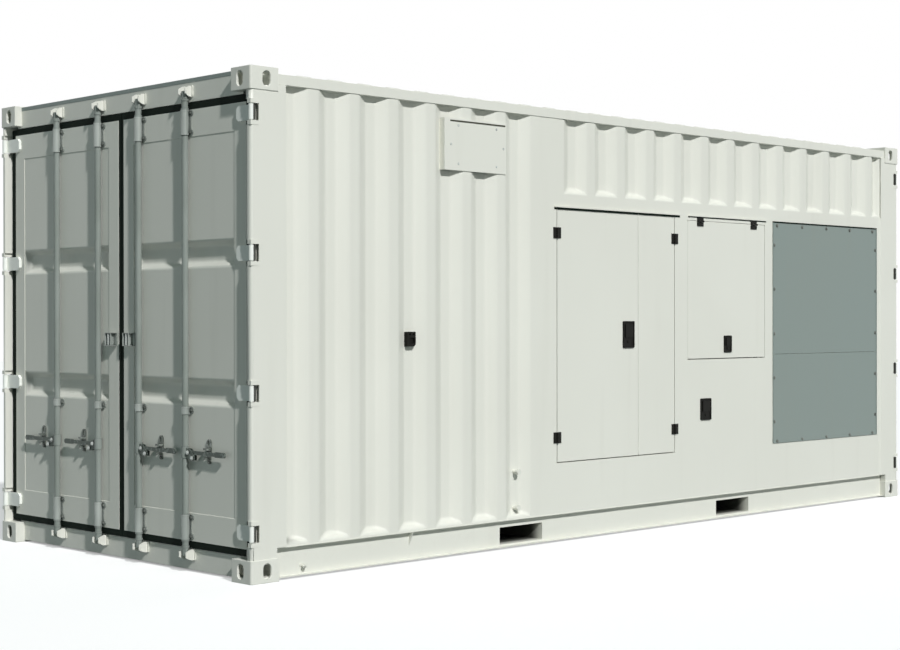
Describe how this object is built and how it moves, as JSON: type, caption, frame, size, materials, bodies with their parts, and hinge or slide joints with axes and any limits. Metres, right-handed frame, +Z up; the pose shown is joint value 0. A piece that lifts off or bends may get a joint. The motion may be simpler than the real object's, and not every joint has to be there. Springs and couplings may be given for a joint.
{
  "type": "containerised diesel generator",
  "caption": "Steel container housing of a diesel generator with hinged cargo doors, service doors, a control flap, bolted air panels and a corrugated roof.",
  "frame": {"origin": "centre of the footprint, on the ground under the corner fittings", "axes": "+X along the length, away from the cargo doors that open; +Y across, away from the service doors that open; +Z up"},
  "size_m": [6.058, 2.438, 2.591],
  "materials": {
    "white_paint": "semi-gloss off-white container paint",
    "grey_paint": "matt grey paint",
    "zinc_steel": "zinc-plated steel",
    "black_fittings": "satin black",
    "seal_rubber": "matt black",
    "floor_steel": "dark grey floor paint"
  },
  "bodies": {
    "root": {"bottom_corner_fittings": "white_paint", "top_corner_fittings": "white_paint", "corner_posts": "white_paint", "end_headers": "white_paint", "end_sills": "white_paint", "side_rail_webs": "white_paint", "side_rail_top_flanges": "white_paint", "side_rail_bottom_flanges": "white_paint", "top_side_rails": "white_paint", "roof_panel": "white_paint", "floor_plate": "floor_steel", "floor_cross_members": "floor_steel", "fork_pocket_cheeks": "white_paint", "fork_pocket_tops": "white_paint", "fork_pocket_straps": "white_paint", "rail_fittings": "white_paint", "corrugated_walls": "white_paint", "upper_wall_bands": "white_paint", "service_frame_uprights": "white_paint", "service_frame_sills": "white_paint", "service_frame_lintels": "white_paint", "control_lower_panels": "white_paint", "upper_air_panels": "grey_paint", "lower_air_panels": "grey_paint", "vent_cover": "white_paint", "rain_gutters": "white_paint", "cam_keepers": "white_paint", "wall_holdbacks": "black_fittings", "drain_stubs": "white_paint", "service_hinge_plates": "black_fittings", "lower_panel_latch": "black_fittings", "far_side_doors": "white_paint", "far_side_hardware": "black_fittings", "far_end_doors": "white_paint", "far_end_seals": "seal_rubber", "far_end_hardware": "zinc_steel", "far_end_lock_rods": "zinc_steel"},
    "left_cargo_door": {"left_cargo_leaf": "white_paint", "left_cargo_seal": "seal_rubber", "left_cargo_hardware": "zinc_steel"},
    "right_cargo_door": {"right_cargo_leaf": "white_paint", "right_cargo_seal": "seal_rubber", "right_cargo_hardware": "zinc_steel"},
    "left_inner_rod": {"left_inner_lock_rod": "zinc_steel"},
    "left_outer_rod": {"left_outer_lock_rod": "zinc_steel"},
    "right_inner_rod": {"right_inner_lock_rod": "zinc_steel"},
    "right_outer_rod": {"right_outer_lock_rod": "zinc_steel"},
    "wide_service_door": {"wide_service_leaf": "white_paint", "wide_leaf_hardware": "black_fittings"},
    "narrow_service_door": {"narrow_service_leaf": "white_paint", "narrow_leaf_hardware": "black_fittings"},
    "control_flap": {"control_flap": "white_paint", "control_flap_hardware": "black_fittings"}
  },
  "joints": [
    {"name": "left_cargo_door_hinge", "type": "hinge", "parent": "root", "child": "left_cargo_door", "pos_m": [-3.013, 1.203, 0], "axis": [0, 0, -1], "range_deg": [0, 260]},
    {"name": "left_inner_rod_turn", "type": "hinge", "parent": "left_cargo_door", "child": "left_inner_rod", "pos_m": [-3.006, 0.2, 0], "axis": [0, 0, -1], "range_deg": [-100, 0]},
    {"name": "left_outer_rod_turn", "type": "hinge", "parent": "left_cargo_door", "child": "left_outer_rod", "pos_m": [-3.006, 0.63, 0], "axis": [0, 0, -1], "range_deg": [-100, 0]},
    {"name": "right_cargo_door_hinge", "type": "hinge", "parent": "root", "child": "right_cargo_door", "pos_m": [-3.013, -1.203, 0], "axis": [0, 0, 1], "range_deg": [0, 260]},
    {"name": "right_inner_rod_turn", "type": "hinge", "parent": "right_cargo_door", "child": "right_inner_rod", "pos_m": [-3.006, -0.2, 0], "axis": [0, 0, 1], "range_deg": [-100, 0]},
    {"name": "right_outer_rod_turn", "type": "hinge", "parent": "right_cargo_door", "child": "right_outer_rod", "pos_m": [-3.006, -0.63, 0], "axis": [0, 0, 1], "range_deg": [-100, 0]},
    {"name": "wide_service_door_hinge", "type": "hinge", "parent": "root", "child": "wide_service_door", "pos_m": [-0.748, -1.212, 0], "axis": [0, 0, -1], "range_deg": [0, 170]},
    {"name": "narrow_service_door_hinge", "type": "hinge", "parent": "root", "child": "narrow_service_door", "pos_m": [0.368, -1.212, 0], "axis": [0, 0, 1], "range_deg": [0, 170]},
    {"name": "control_flap_hinge", "type": "hinge", "parent": "root", "child": "control_flap", "pos_m": [0, -1.212, 1.956], "axis": [1, 0, 0], "range_deg": [-100, 0]}
  ]
}
